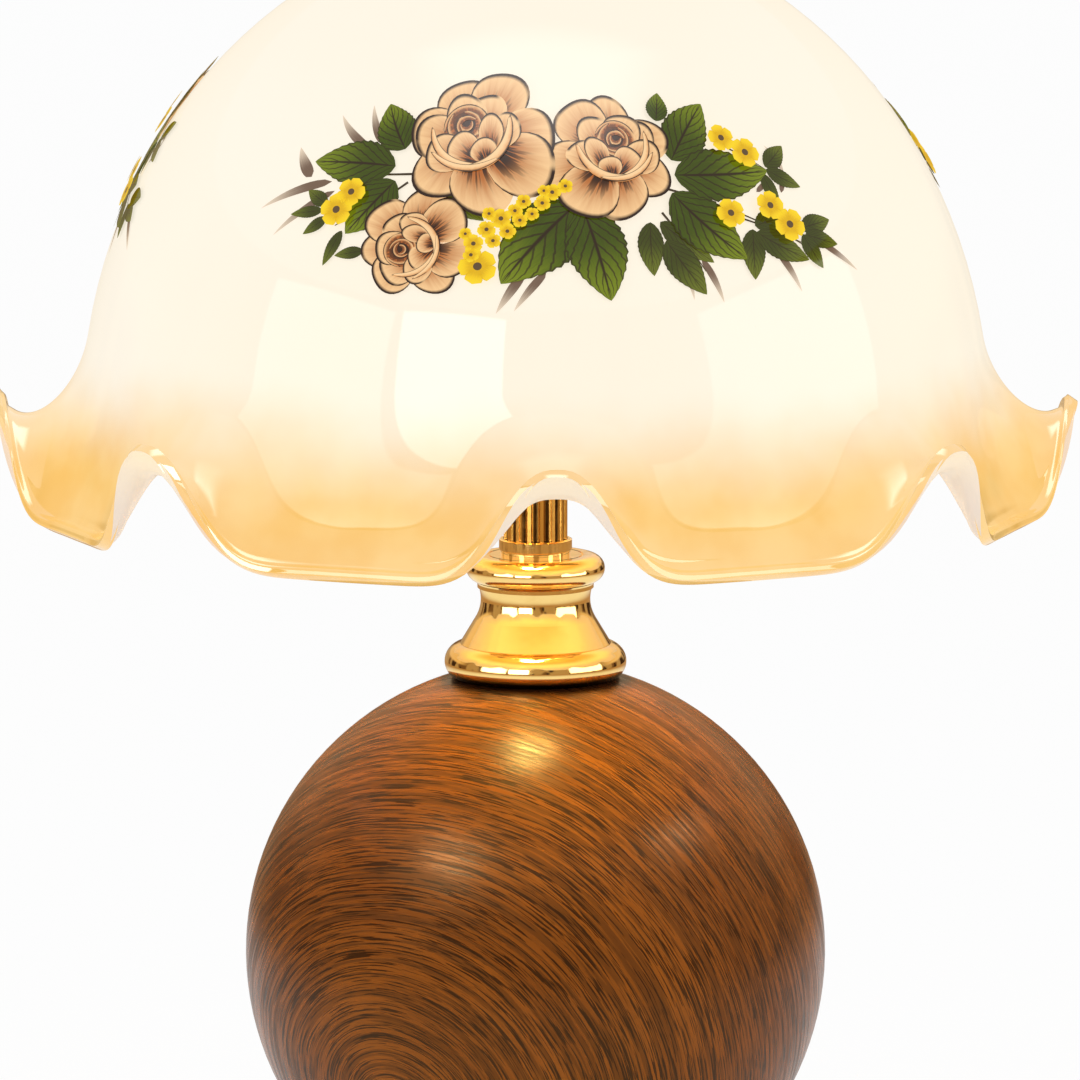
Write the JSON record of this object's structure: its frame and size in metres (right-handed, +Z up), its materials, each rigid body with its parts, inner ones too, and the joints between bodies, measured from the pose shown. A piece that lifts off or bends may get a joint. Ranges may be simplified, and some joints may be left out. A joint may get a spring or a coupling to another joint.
{
  "type": "table lamp",
  "caption": "Table lamp with a turned wooden ball base, brass foot, neck and fluted stem, a lampholder with a turn switch, and a ruffled opal glass dome shade on a harp.",
  "frame": {"origin": "on the table, under the lamp's upright axis", "axes": "+Z up along the lamp's axis; -Y to the front, where the switch key points; +X to the right"},
  "size_m": [0.3502, 0.3502, 0.4674],
  "materials": {
    "polished_brass": "polished and lacquered",
    "plated_wire": "plated steel wire, satin",
    "turned_wood": "gloss lacquer over dark streaked grain",
    "opal_glass": "opal, gloss, amber at the hem",
    "bulb_glass": "frosted white inside",
    "bulb_metal": "rolled bare metal",
    "bulb_insulator": "black fused glass",
    "dark_phenolic": "moulded, semi matt",
    "fibre_sleeve": "plain fibre board",
    "zinc_steel": "zinc plated",
    "iron": "sand cast, bare",
    "cover_paint": "satin black",
    "black_rubber": "moulded",
    "pale_rubber": "moulded"
  },
  "bodies": {
    "lamp": {"rubber_feet": "black_rubber", "base_cover": "cover_paint", "cover_screws": "zinc_steel", "ballast": "iron", "foot_ring": "polished_brass", "cord_bushing": "black_rubber", "bottom_nut": "zinc_steel", "bottom_washer": "zinc_steel", "wood_ball": "turned_wood", "bell_cap": "polished_brass", "neck_ring": "polished_brass", "stem_collar": "polished_brass", "fluted_stem": "polished_brass", "stem_cap": "polished_brass", "threaded_rod": "zinc_steel", "harp_saddle": "plated_wire", "socket_cap": "polished_brass", "socket_shell": "polished_brass", "socket_liner": "fibre_sleeve", "socket_core": "dark_phenolic", "terminal_screws": "plated_wire", "screw_shell": "bulb_metal", "harp_wire": "plated_wire"},
    "switch": {"switch_shaft": "zinc_steel", "switch_key": "dark_phenolic"},
    "bulb": {"bulb_tip": "bulb_insulator", "bulb_base": "bulb_metal", "bulb_globe": "bulb_glass"},
    "shade": {"swivel_post": "plated_wire", "shade_seat": "polished_brass", "lower_gasket": "pale_rubber", "shade_glass": "opal_glass", "upper_gasket": "pale_rubber", "top_cap": "polished_brass"},
    "finial": {"finial": "polished_brass"},
    "left_sleeve": {"ferrule_left": "polished_brass"},
    "right_sleeve": {"ferrule_right": "polished_brass"}
  },
  "joints": [
    {"name": "switch_turn", "type": "hinge", "parent": "lamp", "child": "switch", "pos_m": [0, -0.02, 0.2799], "axis": [0, -1, 0], "continuous": true},
    {"name": "bulb_turn", "type": "hinge", "parent": "lamp", "child": "bulb", "pos_m": [0, 0, 0.3], "axis": [0, 0, 1], "continuous": true},
    {"name": "shade_turn", "type": "hinge", "parent": "lamp", "child": "shade", "pos_m": [0, 0, 0.42], "axis": [0, 0, 1], "continuous": true},
    {"name": "finial_turn", "type": "hinge", "parent": "shade", "child": "finial", "pos_m": [0, 0, 0.445], "axis": [0, 0, 1], "continuous": true},
    {"name": "left_sleeve_lift", "type": "slide", "parent": "lamp", "child": "left_sleeve", "axis": [0, 0, 1], "range_m": [0, 0.014]},
    {"name": "right_sleeve_lift", "type": "slide", "parent": "lamp", "child": "right_sleeve", "axis": [0, 0, 1], "range_m": [0, 0.014]}
  ]
}
